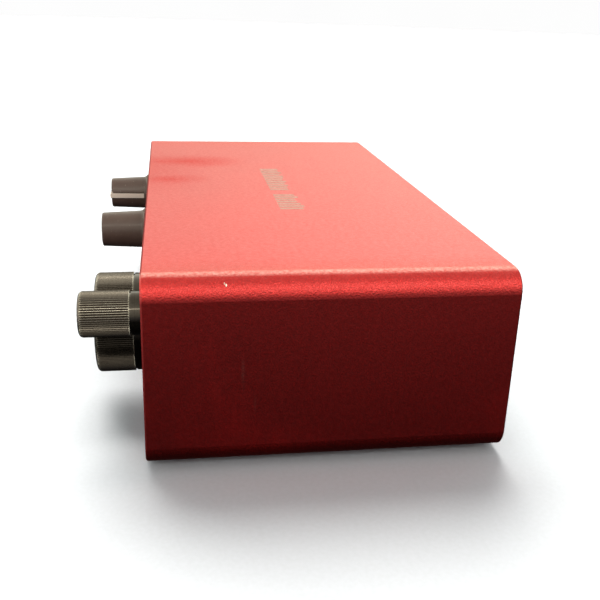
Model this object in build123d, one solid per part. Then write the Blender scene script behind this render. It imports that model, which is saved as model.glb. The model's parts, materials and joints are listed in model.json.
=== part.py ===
from build123d import *
import os
from math import cos, pi, sin

# A two-input, two-output desktop audio interface, in millimetres.
#
# The frame has +X to the right of someone facing the controls, +Y from the front to the back
# and +Z up. Its origin is on the table, below the middle of the whole object, knobs included.
# A depth is measured inwards from the rim of the sleeve, at the front or at the back;
# it is negative outside the sleeve. A place is (x, height above the bottom of the sleeve).

# ---- sleeve and panels -------------------------------------------------------------------
WIDTH = 175.0
HEIGHT = 45.0
DEPTH = 84.5
CORNER = 5.1
WALL = 2.0
RIM_CHAMFER = 0.35
FOOT_HEIGHT = 1.5
LONGEST_KNOB = 14.3
PANEL_GAP = 0.2
FRONT_FACE = 0.6
FRONT_BACK = 2.6
REAR_FACE = 2.2
REAR_BACK = 3.7
SEAT_GAP = 0.05
SCREW_INSET = 4.9
SCREW_RADIUS = 1.25
SCREW_HEAD = 2.3
SCREW_END = 9.0
SCREW_HOLE = 1.35
CHANNEL_RADIUS = 3.2
CHANNEL_BORE = 1.3

# ---- boards ------------------------------------------------------------------------------
BOARD = 1.6
BOARD_BOTTOM = 9.2
BOARD_TOP = BOARD_BOTTOM + BOARD
BOARD_HALF_WIDTH = WIDTH / 2 - WALL - PANEL_GAP
MAIN_FRONT = 14.4
MAIN_REAR = 79.0
CONTROL_FRONT = 12.0
CONTROL_BACK = CONTROL_FRONT + BOARD

# ---- places on the front -----------------------------------------------------------------
COMBOS = {"1": (-73.5, 22.5), "2": (-23.5, 22.5)}
GAINS = {"1": (-51.0, 31.6), "2": (-1.0, 31.6)}
INPUT_SWITCHES = {"1": (-51.0, 12.0), "2": (-1.0, 12.0)}
PHANTOM_BUTTON = (16.0, 12.0)
PHANTOM_LIGHT = (16.0, 21.0)
USB_LIGHT = (21.5, 34.0)
DIRECT_SWITCH = (27.0, 12.0)
MONITOR = (48.0, 20.4)
PHONES = (72.0, 31.9)
PHONES_JACK = (72.0, 16.5)

# ---- places on the back, with the same x as on the front ---------------------------------
LINE_OUTS = {"left": (-40.0, 17.0), "right": (-64.0, 17.0)}
USB_PORT = (46.0, 16.25)
LOCK = (70.0, 24.0)

# ---- controls ----------------------------------------------------------------------------
SHAFT = 3.0
SHAFT_PLAY = 0.06
SHAFT_TIP = -8.0
SHAFT_END = 11.2
BUSH = 3.6
FLAT = 1.5
KNOB_FIT = 0.02
KNOB_LIFT = 0.1
GAIN_LENGTH = 13.9
POINTER_RAISE = LONGEST_KNOB - GAIN_LENGTH
POINTER_WIDTH = 1.5
POINTER_ROOT = 0.6
GROOVE_WIDTH = 2.7
GROOVE_DEPTH = 0.4
GAIN_TIP = 5.15
GAIN_ROOT = 5.65
GAIN_SKIRT = 6.4
MONITOR_RADIUS = 12.8
MONITOR_LENGTH = 12.4
MONITOR_TEETH = 144
PHONES_RADIUS = 5.3
PHONES_TEETH = 60
TOOTH_DEPTH = 0.3
TIP_CUT = 0.06
CAP_WALL = 1.3
GAIN_1_CLOCK = 90.0
GAIN_2_CLOCK = -150.0
MONITOR_CLOCK = 93.0
PHONES_CLOCK = 20.0
SWITCH_NUB = (2.2, 3.4)
SWITCH_TRAVEL = 2.4
BUTTON_RADIUS = 2.9
BUTTON_TRAVEL = 1.6
PLUNGER_END = 9.2
SPRING_SEAT = 3.8
SPRING_STOP = 7.0
LIGHT_PIPE = 1.1
LIGHT_RING = 7.5

# ---- sockets, with the clearances around them --------------------------------------------
COMBO_LIP = 10.15
COMBO_WELL = 9.6
COMBO_WINDOWS = ((24, 31), (20, 27))
XLR_CIRCLE = 5.6
XLR_ANGLES = (30, 150, 270)
JACK_BORE = 3.2
JACK_WINDOWS = ((17, 23), (21, 27))
PHONES_NOSE = 5.0
LINE_NOSE = 4.9
USB_SIZE = (12.0, 10.9)
LOCK_SLOT = (3.0, 7.0)
PIN_RADIUS = 0.45
PLAY = 0.15

FRONT_Y = -(DEPTH - LONGEST_KNOB) / 2
REAR_Y = FRONT_Y + DEPTH


# ---- helpers -----------------------------------------------------------------------------
def on_front(place, turn=0.0):
    """Local +z comes out of the front, +y is up and z is minus the depth; turn is clockwise."""
    x, height = place
    return Pos(x, FRONT_Y, FOOT_HEIGHT + height) * Rot(90, 0, 0) * Rot(0, 0, -turn)


def on_rear(place):
    """The same for the back, as seen by someone behind the object."""
    x, height = place
    return Pos(x, REAR_Y, FOOT_HEIGHT + height) * Rot(0, 0, 180) * Rot(90, 0, 0)


def rod(radius, near, far):
    return Pos(0, 0, -(near + far) / 2) * Cylinder(radius, far - near)


def ring(outer, inner, near, far):
    return rod(outer, near, far) - rod(inner, near - 1, far + 1)


def bar(width, height, near, far, x=0.0, y=0.0):
    return Pos(x, y, -(near + far) / 2) * Box(width, height, far - near)


def slab(width, height, radius, near, far):
    """A plate with rounded corners, from depth near to depth far."""
    return Pos(0, 0, -far) * extrude(RectangleRounded(width, height, radius), amount=far - near)


def turned(*points):
    """A solid of revolution about local z, from its half profile of (radius, z) points."""
    return revolve(Plane.XZ * make_face(Polyline(*points, close=True)), Axis.Z)


def corners():
    """The four screw places, as (x, height)."""
    half = WIDTH / 2 - SCREW_INSET
    return [(x, z) for x in (-half, half) for z in (SCREW_INSET, HEIGHT - SCREW_INSET)]


MIDDLE = (0.0, HEIGHT / 2)


# ---- casing ------------------------------------------------------------------------------
def sleeve():
    """An extruded tube with board rails on its side walls and a screw channel in each corner."""
    outer = slab(WIDTH, HEIGHT, CORNER, 0, DEPTH)
    rims = outer.faces().sort_by(Axis.Z)
    outer = chamfer(rims[0].edges() + rims[-1].edges(), RIM_CHAMFER)
    inside = slab(WIDTH - 2 * WALL, HEIGHT - 2 * WALL, CORNER - WALL, -1, DEPTH + 1)
    body = on_front(MIDDLE) * (outer - inside)
    channel_far = DEPTH - REAR_BACK - SEAT_GAP
    rail_x = WIDTH / 2 - WALL - 0.9
    for side in (-1, 1):
        for bottom, top, near in (
            (7.7, BOARD_BOTTOM - SEAT_GAP, MAIN_FRONT),
            (BOARD_TOP + SEAT_GAP, 12.2, 36.0),
        ):
            rail = bar(2.2, top - bottom, near, channel_far, side * rail_x, (bottom + top) / 2)
            body += on_front((0, 0)) * rail
    for place in corners():
        body += on_front(place) * rod(CHANNEL_RADIUS, FRONT_BACK + SEAT_GAP, channel_far)
    for place in corners():
        body -= on_front(place) * rod(CHANNEL_BORE, 0, DEPTH)
    return body


def panel_blank(near, far):
    width = WIDTH - 2 * WALL - 2 * PANEL_GAP
    height = HEIGHT - 2 * WALL - 2 * PANEL_GAP
    return slab(width, height, CORNER - WALL - PANEL_GAP, near, far)


def front_panel():
    """The fascia, with one hole for each control."""
    panel = on_front(MIDDLE) * panel_blank(FRONT_FACE, FRONT_BACK)
    through = (0, FRONT_BACK + 1)
    slots = [*INPUT_SWITCHES.values(), DIRECT_SWITCH]
    slot = bar(SWITCH_NUB[0] + 0.4, SWITCH_NUB[1] + SWITCH_TRAVEL + 0.6, *through)
    cuts = [(place, rod(COMBO_LIP + PLAY, *through)) for place in COMBOS.values()]
    cuts += [(place, rod(LIGHT_RING + 0.1, *through)) for place in GAINS.values()]
    cuts += [(place, rod(BUSH + 0.4, *through)) for place in (MONITOR, PHONES)]
    cuts += [(place, slot) for place in slots]
    cuts += [(place, rod(LIGHT_PIPE + 0.05, *through)) for place in (PHANTOM_LIGHT, USB_LIGHT)]
    cuts += [(PHANTOM_BUTTON, rod(BUTTON_RADIUS + PLAY, *through))]
    cuts += [(PHONES_JACK, rod(PHONES_NOSE + 0.1, *through))]
    wide = SCREW_HEAD + PLAY
    sink = turned(
        (0, -0.5), (wide, -0.5), (wide, -0.75), (SCREW_HOLE, -1.85), (SCREW_HOLE, -4), (0, -4)
    )
    cuts += [(place, sink) for place in corners()]
    for place, cut in cuts:
        panel -= on_front(place) * cut
    return panel


def rear_panel():
    """The back plate, with the openings for the sockets and the lock."""
    panel = on_rear(MIDDLE) * panel_blank(REAR_FACE, REAR_BACK)
    through = (REAR_FACE - 1, REAR_BACK + 1)
    cuts = [(place, rod(LINE_NOSE + 0.1, *through)) for place in LINE_OUTS.values()]
    cuts += [(USB_PORT, bar(USB_SIZE[0] + 2 * PLAY, USB_SIZE[1] + 2 * PLAY, *through))]
    cuts += [(LOCK, slab(*LOCK_SLOT, 1.45, *through))]
    cuts += [((-x, z), rod(SCREW_HOLE, *through)) for x, z in corners()]
    for place, cut in cuts:
        panel -= on_rear(place) * cut
    return panel


def front_screws():
    """Countersunk screws with a hexagon socket."""
    screw = turned(
        (0, -0.7), (SCREW_HEAD, -0.7), (SCREW_HEAD, -0.85), (SCREW_RADIUS, -1.9),
        (SCREW_RADIUS, -SCREW_END), (0, -SCREW_END),
    )
    socket = extrude(RegularPolygon(0.85, 6), amount=0.9)
    return Compound([on_front(p) * (screw - Pos(0, 0, -1.5) * socket) for p in corners()])


def rear_screws():
    """Pan-head screws with a cross recess."""
    head = rod(2.2, 0.8, REAR_FACE)
    head = fillet(head.edges().sort_by(Axis.Z)[-1], 0.5)
    screw = head + rod(SCREW_RADIUS, REAR_FACE, SCREW_END)
    cross = bar(0.5, 2.4, 0.5, 1.6) + bar(2.4, 0.5, 0.5, 1.6)
    return Compound([on_rear(p) * (screw - cross) for p in corners()])


def rubber_feet():
    """Four round stick-on feet with a shallow dimple."""
    foot = Pos(0, 0, FOOT_HEIGHT / 2) * Cylinder(6.5, FOOT_HEIGHT)
    foot = chamfer(foot.edges().sort_by(Axis.Z)[0], 0.4)
    foot -= Pos(0, 0, 0.15) * Cylinder(2.5, 0.3)
    middle_y = FRONT_Y + DEPTH / 2
    return Compound([Pos(x, middle_y + y, 0) * foot for x in (-70, 70) for y in (-29, 29)])


# ---- sockets -----------------------------------------------------------------------------
def contact_window(near, far):
    """The opening in a jack's bore wall that a leaf contact works through, on the +x side."""
    return bar(2.4, 2.6, near, far, x=4.2)


def leaf_contact(near, far):
    """A bent strip whose crest touches the plug, in a window from near to far."""
    crest = JACK_BORE + 0.08
    back = 5.0
    thick = 0.3
    middle = (near + far) / 2
    outline = Polyline(
        (back, -near - 0.3), (crest, -middle), (back, -far + 0.3), (back + thick, -far + 0.3),
        (crest + 1.2 * thick, -middle), (back + thick, -near - 0.3), close=True,
    )
    return extrude(Plane.XZ * make_face(outline), amount=1.0, both=True)


def both_sides(make, windows):
    """The first window's piece on the +x side of a jack and the second's on the -x side."""
    first, second = windows
    return [make(*first), Rot(0, 0, 180) * make(*second)]


def solder_pins(depths, low, xs):
    """Round pins that run from a socket's underside, low, through the main board."""
    length = BOARD + 0.8
    pin = Rot(90, 0, 0) * Cylinder(PIN_RADIUS, length)
    return [Pos(x, low - length / 2, -depth) * pin for depth in depths for x in xs]


COMBO_PIN_DEPTHS = (27.0, 31.0)
COMBO_PIN_XS = (-7.5, -2.5, 2.5, 7.5)
JACK_PIN_XS = (-4.0, 4.0)
PHONES_PIN_DEPTHS = (20.0, 29.0)
LINE_PIN_DEPTHS = (12.0, 26.0)
USB_PIN_DEPTHS = (8.0, 15.5)
USB_PIN_XS = (-1.25, 1.25)


def combo_housing():
    """The outer shell of an XLR and jack socket, with the round well for the XLR plug."""
    body = slab(22.6, 23.4, 3.0, FRONT_BACK + 0.1, 34.0) + rod(COMBO_LIP, 0.75, 3.0)
    body -= rod(COMBO_WELL, 0, 19.1) + rod(6.1, 19, 32.9)
    return body - bar(3.2, 1.2, 0, 12.0, y=COMBO_WELL)


def combo_insert():
    """The core that the XLR plug's shell goes around, with the jack bore in its middle."""
    core = rod(7.7, 1.7, 17.1)
    core = fillet(core.edges().sort_by(Axis.Z)[-1], 0.4)
    core += rod(COMBO_WELL - 0.05, 17, 19) + rod(6.0, 19, 32.8)
    core -= rod(JACK_BORE, 1, 31.5)
    core -= turned((0, -1.6), (3.7, -1.6), (JACK_BORE, -2.1), (0, -2.1))
    for angle in XLR_ANGLES:
        core -= Rot(0, 0, angle) * Pos(XLR_CIRCLE, 0, 0) * rod(1.6, 1, 16.5)
    return core - both_sides(contact_window, COMBO_WINDOWS)


def combo_contacts():
    """Three XLR sleeves, two leaves for the jack and the pins to the board."""
    sleeve_contact = ring(1.5, 1.15, 4.0, 15.0) + rod(1.5, 15.0, 16.2)
    parts = [Rot(0, 0, a) * Pos(XLR_CIRCLE, 0, 0) * sleeve_contact for a in XLR_ANGLES]
    parts += both_sides(leaf_contact, COMBO_WINDOWS)
    return Compound(parts + solder_pins(COMBO_PIN_DEPTHS, -11.7, COMBO_PIN_XS))


def jack_body(width, height, body_near, body_far, nose):
    """A jack socket with a round nose; nose is (radius, near)."""
    radius, near = nose
    body = bar(width, height, body_near, body_far) + rod(radius, near, body_near + 0.5)
    body -= rod(JACK_BORE, near - 1, body_far - 1.5)
    return body - both_sides(contact_window, JACK_WINDOWS)


def jack_contacts(low, pin_depths):
    return both_sides(leaf_contact, JACK_WINDOWS) + solder_pins(pin_depths, low, JACK_PIN_XS)


PHONES_LOW = BOARD_TOP - PHONES_JACK[1]


def phones_jack_housing():
    body = jack_body(11.8, -2 * PHONES_LOW, FRONT_BACK + 0.1, 32.5, (PHONES_NOSE, 0.7))
    return body - rod(4.3, 0, 2.2)


def phones_jack_ferrule():
    ferrule = ring(4.25, JACK_BORE, 0.5, 2.15)
    return chamfer(ferrule.edges().sort_by(Axis.Z)[-2:], 0.2)


LINE_LOW = BOARD_TOP - LINE_OUTS["left"][1]


def line_out_jack():
    return jack_body(15.0, -2 * LINE_LOW, REAR_BACK + 0.1, 30.0, (LINE_NOSE, 0.6))


def line_out_nut():
    """A hexagonal nut that clamps the jack's nose to the back plate."""
    nut = Pos(0, 0, -REAR_FACE + 0.05) * extrude(RegularPolygon(6.6, 6), amount=1.5)
    return nut - rod(LINE_NOSE + 0.05, -1, 5)


def usb_cavity(grow, near, far):
    """The mouth of a type B socket, whose two upper corners are cut off."""
    half, low, high, cut = 4.3 + grow, -3.95 - grow, 3.95 + grow, 1.9
    outline = Polyline(
        (-half, low), (half, low), (half, high - cut), (half - cut, high),
        (cut - half, high), (-half, high - cut), close=True,
    )
    return Pos(0, 0, -far) * extrude(make_face(outline), amount=far - near)


def usb_shell():
    """The folded metal shell, 0.4 thick, with a mouth a little wider than the moulding's."""
    shell = bar(*USB_SIZE, REAR_FACE - 0.6, 18.0)
    shell -= bar(USB_SIZE[0] - 0.8, USB_SIZE[1] - 0.8, 1.9, 17.6)
    return shell - usb_cavity(0.3, 1, 2)


def usb_insulator():
    """The moulding inside the shell, with the tongue that carries the contacts."""
    block = bar(USB_SIZE[0] - 0.84, USB_SIZE[1] - 0.84, 1.95, 17.55) - usb_cavity(0, 1, 11.0)
    return block + bar(5.6, 3.2, 2.9, 11.5)


def usb_contacts():
    """Two contacts above the tongue, two below, and the pins to the board."""
    strip = bar(1.0, 0.3, 3.4, 10.9)
    places = [(x, y) for x in (-1.25, 1.25) for y in (-1.75, 1.75)]
    strips = [Pos(x, y, 0) * strip for x, y in places]
    return Compound(strips + solder_pins(USB_PIN_DEPTHS, -USB_SIZE[1] / 2, USB_PIN_XS))


def lock_plate():
    """The steel plate that backs the lock slot."""
    plate = slab(14.0, 12.0, 1.0, REAR_BACK + 0.05, REAR_BACK + 1.25)
    return plate - slab(LOCK_SLOT[0] + 0.4, LOCK_SLOT[1] + 0.4, 1.6, 0, 10)


# ---- knobs and their potentiometers ------------------------------------------------------
def shaft():
    """A potentiometer's shaft, whose outer end is flattened to drive the knob."""
    body = rod(SHAFT, SHAFT_TIP, SHAFT_END)
    return body - bar(8, 4, SHAFT_TIP - 1, 0.2, y=FLAT + 2)


def shaft_socket():
    """The D-shaped hole in a knob that its shaft fills."""
    hole = rod(SHAFT + KNOB_FIT, SHAFT_TIP - 0.1, 1)
    return hole - bar(8, 4, SHAFT_TIP - 1, 2, y=FLAT + KNOB_FIT + 2)


def pot():
    """The can, the bush that the shaft turns in, and three lugs to the control board."""
    body = bar(9.8, 11.2, 5.4, CONTROL_FRONT) + rod(BUSH, FRONT_BACK + 0.1, 5.6)
    for x in (-2.5, 0, 2.5):
        body += bar(0.9, 2.4, CONTROL_FRONT - 0.7, CONTROL_FRONT, x, -6.4)
    return body - rod(SHAFT + SHAFT_PLAY, 1, SHAFT_END + 0.3)


def gain_form(grow=0.0):
    """The knob's outer form: a tapered grip above a flared skirt, thicker all over by grow."""
    end = GAIN_LENGTH + grow
    profile = Polyline((5.9 + grow, 1.5), (GAIN_SKIRT + grow, 1.1), (GAIN_SKIRT + grow, KNOB_LIFT))
    profile += Polyline((GAIN_SKIRT + grow, KNOB_LIFT), (0, KNOB_LIFT), (0, end - 0.25), (3.8, end))
    profile += Line((3.8, end), (GAIN_TIP + grow - 0.55, end))
    profile += RadiusArc((GAIN_TIP + grow - 0.55, end), (GAIN_TIP + grow, end - 0.55), 0.55)
    profile += Line((GAIN_TIP + grow, end - 0.55), (GAIN_ROOT + grow, 2.6))
    profile += ThreePointArc((GAIN_ROOT + grow, 2.6), (5.72 + grow, 2.0), (5.9 + grow, 1.5))
    return revolve(Plane.XZ * make_face(profile), Axis.Z)


def pointer_channel(width, deep):
    """An L-shaped channel along the knob's side and halfway across its end, at 12 o'clock."""
    return Pos(0, 6.0, 9.4) * Box(width, 10.4, 14.0) - gain_form(-deep)


def gain_knob():
    """The soft grip, with the pointer's channel and a shallow groove on each side of it."""
    grip = gain_form() - pointer_channel(GROOVE_WIDTH, GROOVE_DEPTH)
    return grip - pointer_channel(POINTER_WIDTH, POINTER_ROOT) - shaft_socket()


def gain_pointer():
    """The raised metal strip in the channel, a little proud of the grip."""
    return pointer_channel(POINTER_WIDTH, POINTER_ROOT) & gain_form(POINTER_RAISE)


def light_ring():
    """The light guide around a gain knob, flanged behind the fascia."""
    inner = 5.0
    return ring(LIGHT_RING, inner, 0.45, 2.75) + ring(LIGHT_RING + 0.9, inner, 2.7, 3.6)


def rounded_end(radius, length, corner):
    """A turned blank with a rounded outer end, from the fascia to length in front of the rim."""
    blank = Pos(0, 0, (length + KNOB_LIFT) / 2) * Cylinder(radius, length - KNOB_LIFT)
    return fillet(blank.edges().sort_by(Axis.Z)[-1], corner)


def knurled_cap(radius, length, teeth):
    """A metal cap: a plain collar, a groove, and straight knurling up to a rounded end."""
    points = []
    for step in range(2 * teeth):
        reach = radius - TOOTH_DEPTH if step % 2 else radius + TIP_CUT
        angle = pi * step / teeth
        points.append((reach * cos(angle), reach * sin(angle)))
    knurl = Pos(0, 0, 2.9) * extrude(make_face(Polyline(*points, close=True)), amount=length)
    collar = Pos(0, 0, 1.3) * Cylinder(radius - 0.2, 2.4)
    neck = Pos(0, 0, 2.7) * Cylinder(radius - 0.55, 0.6)
    cap = (knurl + collar + neck) & rounded_end(radius, length, 1.1)
    return cap - rod(radius - CAP_WALL, CAP_WALL - length, 1) - end_line(radius, length)


def end_line(radius, length):
    """The pocket for the line in the end of a knurled cap, at 12 o'clock."""
    inner, outer = 0.35 * radius, radius - 1.1
    return Pos(0, (inner + outer) / 2, length) * Box(0.9, outer - inner, 0.8)


def knob_line(radius, length):
    return end_line(radius, length) & rod(radius, -length, 0)


def knob_core(radius, length):
    """The plastic core that grips the shaft inside a metal cap."""
    core = rod(radius - CAP_WALL - KNOB_FIT, CAP_WALL + 0.05 - length, -0.4)
    if radius > 10:
        core -= ring(radius - 3.0, 5.0, -7.0, 0)
    return core - shaft_socket()


# ---- switches, button and lights ---------------------------------------------------------
def switch_frame():
    """A slide switch: a frame with a chamber for the slider and a window in front of it."""
    frame = bar(5.6, 10.8, 3.4, CONTROL_FRONT) - bar(4.2, 8.8, 4.2, 7.2)
    return frame - bar(2.8, 6.6, 3.0, 4.5)


def switch_slider():
    """The slider at the lower end of its travel."""
    nub = bar(*SWITCH_NUB, -0.9, 4.6)
    nub = fillet(nub.edges().filter_by(Axis.X).sort_by(Axis.Z)[-2:], 0.5)
    return Pos(0, -SWITCH_TRAVEL / 2, 0) * (nub + bar(4.0, 6.0, 4.4, 7.0))


def phantom_button():
    """A round cap held behind the fascia by its flange, on a square plunger."""
    cap = rod(BUTTON_RADIUS, -0.9, 3.2)
    cap = fillet(cap.edges().sort_by(Axis.Z)[-1], 0.4)
    return cap + rod(3.6, 2.9, SPRING_SEAT) + bar(2.4, 2.4, SPRING_SEAT, PLUNGER_END)


def phantom_switch():
    well = bar(2.6, 2.6, 6, PLUNGER_END + BUTTON_TRAVEL + 0.6)
    return bar(7.0, 7.0, SPRING_STOP, CONTROL_FRONT) - well


def phantom_spring():
    """The coil spring around the plunger, between the flange and the switch."""
    wire, radius, turns, end_gap = 0.2, 2.15, 4, 0.05
    height = SPRING_STOP - SPRING_SEAT - 2 * wire - 2 * end_gap
    path = Helix(height / turns, height, radius)
    coil = sweep(Plane(path @ 0, z_dir=path % 0) * Circle(wire), path=path, is_frenet=True)
    return Pos(0, 0, wire + end_gap - SPRING_STOP) * coil


def light_pipe():
    return rod(LIGHT_PIPE, 0.5, CONTROL_FRONT)


# ---- boards and their components ---------------------------------------------------------
def pin_holes():
    """Where pins go through the main board: (socket, pin depths, pin xs, board height)."""
    holes = [(on_front(PHONES_JACK), PHONES_PIN_DEPTHS, JACK_PIN_XS, PHONES_LOW)]
    for place in COMBOS.values():
        holes += [(on_front(place), COMBO_PIN_DEPTHS, COMBO_PIN_XS, BOARD_TOP - place[1])]
    for place in LINE_OUTS.values():
        holes += [(on_rear(place), LINE_PIN_DEPTHS, JACK_PIN_XS, LINE_LOW)]
    holes += [(on_rear(USB_PORT), USB_PIN_DEPTHS, USB_PIN_XS, BOARD_TOP - USB_PORT[1])]
    return holes


def main_board():
    board = bar(2 * BOARD_HALF_WIDTH, BOARD, MAIN_FRONT, MAIN_REAR)
    board = on_front((0, BOARD_BOTTOM + BOARD / 2)) * board
    drill = Rot(90, 0, 0) * Cylinder(PIN_RADIUS + PLAY, 4)
    for location, depths, xs, low in pin_holes():
        for depth in depths:
            for x in xs:
                board -= location * Pos(x, low - BOARD / 2, -depth) * drill
    return board


def control_board():
    """The upright board behind the fascia, cut away around a combo socket and the phones jack."""
    left, right, bottom, top = -60.5, 78.8, 3.5, 40.5
    width, height = right - left, top - bottom
    middle = ((left + right) / 2, (bottom + top) / 2)
    board = on_front(middle) * slab(width, height, 1.5, CONTROL_FRONT, CONTROL_BACK)
    board -= on_front(COMBOS["2"]) * bar(23.4, 24.2, 10, 15)
    return board - on_front(PHONES_JACK) * bar(12.6, 12.2, 10, 15)


def board_link():
    """The header that joins the two boards."""
    body = bar(26, 5.2, CONTROL_BACK, 21.0, 35, BOARD_TOP + 2.6)
    for step in range(10):
        x = 35 + 2.4 * (step - 4.5)
        body += bar(0.6, 0.6, 20.5, 23.0, x, BOARD_TOP + 1.2)
    return on_front((0, 0)) * body


def on_board(x, depth):
    """A place on top of the main board, with local z up."""
    return Pos(x, FRONT_Y + depth, FOOT_HEIGHT + BOARD_TOP)


def chips():
    """The USB controller, the converter, and one amplifier chip for each channel stage."""
    sizes = [(44, 50, 12, 12, 1.4), (-6, 44, 9, 9, 1.2), (14, 66, 8, 6, 1.6)]
    sizes += [(x, 41, 5, 4, 1.5) for x in (-74, -62, -50, -38, -26)]
    sizes += [(x, 46, 5, 4, 1.5) for x in (62, 74)]
    return Compound(
        [on_board(x, y) * Pos(0, 0, h / 2) * Box(w, d, h) for x, y, w, d, h in sizes]
    )


def capacitors():
    """Electrolytic capacitors, each a can with a bevelled base."""
    cans = [(x, 48.5, 2.5, 7.0) for x in (-76, -68, -58, -48, -34, -24)]
    cans += [(x, 72, 4.0, 11.0) for x in (-14, -4, 28)]
    cans += [(x, 58, 3.2, 8.0) for x in (-14, 4, 60, 70)]
    parts = []
    for x, y, radius, height in cans:
        can = Pos(0, 0, height / 2) * Cylinder(radius, height)
        can = fillet(can.edges().sort_by(Axis.Z)[-1], 0.4)
        parts.append(on_board(x, y) * (can + Pos(0, 0, 0.5) * Box(2 * radius, 2 * radius, 1.0)))
    return Compound(parts)


def power_coils():
    """Two shielded coils of the power supply."""
    coil = Pos(0, 0, 2.5) * Box(10, 10, 5.0) - Pos(0, 0, 5.0) * Cylinder(3.6, 1.0)
    coil += Pos(0, 0, 2.4) * Cylinder(3.2, 4.8)
    return Compound([on_board(x, 70) * coil for x in (62, 76)])


# ---- assembly ----------------------------------------------------------------------------
def build_nodes():
    nodes = {
        "sleeve": sleeve(),
        "front_panel": front_panel(),
        "rear_panel": rear_panel(),
        "front_screws": front_screws(),
        "rear_screws": rear_screws(),
        "rubber_feet": rubber_feet(),
        "main_board": main_board(),
        "control_board": control_board(),
        "board_link": board_link(),
        "chips": chips(),
        "capacitors": capacitors(),
        "power_coils": power_coils(),
    }
    for name, place in COMBOS.items():
        nodes[f"combo_housing_{name}"] = on_front(place) * combo_housing()
        nodes[f"combo_insert_{name}"] = on_front(place) * combo_insert()
        nodes[f"combo_contacts_{name}"] = on_front(place) * combo_contacts()
    for name, clock in (("1", GAIN_1_CLOCK), ("2", GAIN_2_CLOCK)):
        place = on_front(GAINS[name], clock)
        nodes[f"gain_knob_{name}"] = place * gain_knob()
        nodes[f"gain_pointer_{name}"] = place * gain_pointer()
        nodes[f"gain_shaft_{name}"] = place * shaft()
        nodes[f"gain_pot_{name}"] = on_front(GAINS[name]) * pot()
        nodes[f"gain_light_ring_{name}"] = on_front(GAINS[name]) * light_ring()
    knurled = {
        "monitor": (MONITOR, MONITOR_CLOCK, MONITOR_RADIUS, MONITOR_LENGTH, MONITOR_TEETH),
        "phones": (PHONES, PHONES_CLOCK, PHONES_RADIUS, LONGEST_KNOB, PHONES_TEETH),
    }
    for name, (place, clock, radius, length, teeth) in knurled.items():
        turn = on_front(place, clock)
        nodes[f"{name}_knob_cap"] = turn * knurled_cap(radius, length, teeth)
        nodes[f"{name}_knob_core"] = turn * knob_core(radius, length)
        nodes[f"{name}_knob_line"] = turn * knob_line(radius, length)
        nodes[f"{name}_shaft"] = turn * shaft()
        nodes[f"{name}_pot"] = on_front(place) * pot()
    for name, place in (*INPUT_SWITCHES.items(), ("direct", DIRECT_SWITCH)):
        label = "direct_monitor" if name == "direct" else f"input_{name}"
        nodes[f"{label}_switch"] = on_front(place) * switch_frame()
        nodes[f"{label}_slider"] = on_front(place) * switch_slider()
    nodes["phantom_button"] = on_front(PHANTOM_BUTTON) * phantom_button()
    nodes["phantom_switch"] = on_front(PHANTOM_BUTTON) * phantom_switch()
    nodes["phantom_spring"] = on_front(PHANTOM_BUTTON) * phantom_spring()
    nodes["phantom_light"] = on_front(PHANTOM_LIGHT) * light_pipe()
    nodes["usb_light"] = on_front(USB_LIGHT) * light_pipe()
    nodes["phones_jack_housing"] = on_front(PHONES_JACK) * phones_jack_housing()
    nodes["phones_jack_ferrule"] = on_front(PHONES_JACK) * phones_jack_ferrule()
    contacts = Compound(jack_contacts(PHONES_LOW, PHONES_PIN_DEPTHS))
    nodes["phones_jack_contacts"] = on_front(PHONES_JACK) * contacts
    for name, place in LINE_OUTS.items():
        nodes[f"line_out_jack_{name}"] = on_rear(place) * line_out_jack()
    rears = [on_rear(place) for place in LINE_OUTS.values()]
    contacts = Compound(jack_contacts(LINE_LOW, LINE_PIN_DEPTHS))
    nodes["line_out_nuts"] = Compound([rear * line_out_nut() for rear in rears])
    nodes["line_out_contacts"] = Compound([rear * contacts for rear in rears])
    nodes["usb_shell"] = on_rear(USB_PORT) * usb_shell()
    nodes["usb_insulator"] = on_rear(USB_PORT) * usb_insulator()
    nodes["usb_contacts"] = on_rear(USB_PORT) * usb_contacts()
    nodes["lock_plate"] = on_rear(LOCK) * lock_plate()
    return nodes


if __name__ == "__main__":
    os.makedirs("parts", exist_ok=True)
    made = build_nodes()
    for node, shape in made.items():
        export_step(shape, f"parts/{node}.step")
    print(len(made), "nodes written")
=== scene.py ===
"""The looks of the desktop audio interface: materials, printed legends, floor, light and camera.

Lengths are in metres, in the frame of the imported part: +X right, +Y from front to back, +Z up. Only the
places and sizes of printed legends are in millimetres, and so is what their functions take.
"""

import json
import math
import random

import bmesh
import bpy
from mathutils import Matrix, Vector

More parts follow.
